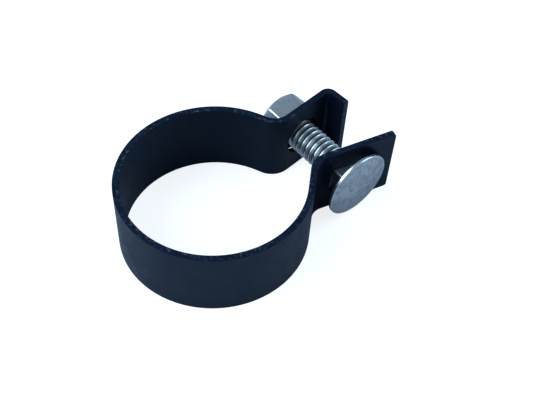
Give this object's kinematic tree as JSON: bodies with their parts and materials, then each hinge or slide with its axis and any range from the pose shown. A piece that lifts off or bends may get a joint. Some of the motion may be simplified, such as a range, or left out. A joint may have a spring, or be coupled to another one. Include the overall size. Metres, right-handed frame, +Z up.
{
  "type": "hose clamp",
  "caption": "Single-bolt band clamp: painted steel strap ring with two splayed ears, one with an in-turned lip, a carriage bolt and a hex nut.",
  "frame": {"origin": "on the surface the band stands on, below the middle of the whole clamp's box", "axes": "+X runs from the ring out between the ears, +Y from the bolt head's side to the nut's side, +Z up along the pipe's axis"},
  "size_m": [0.0656, 0.044, 0.0191],
  "materials": {
    "black_paint": "satin black paint, chipped at the edges",
    "zinc_plate": "bright zinc plate, slightly mottled"
  },
  "bodies": {
    "nut_side_band": {"strap_nut_side": "black_paint"},
    "bolt_side_band": {"strap_bolt_side": "black_paint"},
    "bolt": {"carriage_bolt": "zinc_plate"},
    "nut": {"hex_nut": "zinc_plate"}
  },
  "joints": [
    {"name": "nut_spin", "type": "hinge", "parent": "nut_side_band", "child": "nut", "pos_m": [0.01873, 0.01165, 0.00953], "axis": [0.0915, -0.9958, 0], "range_deg": [0, 2880]},
    {"name": "bolt_draw", "type": "slide", "parent": "nut_side_band", "child": "bolt", "axis": [-0.0915, 0.9958, 0], "range_m": [0, 0.01129]},
    {"name": "strap_flex", "type": "hinge", "parent": "nut_side_band", "child": "bolt_side_band", "pos_m": [-0.03032, -0.00777, 0.00953], "axis": [0, 0, 1], "range_deg": [0, 10.81]}
  ],
  "couplings": [
    {"joint": "bolt_draw", "follows": "nut_spin", "m_per_rad": 0.00022459},
    {"joint": "strap_flex", "follows": "nut_spin", "ratio": 0.00375}
  ]
}
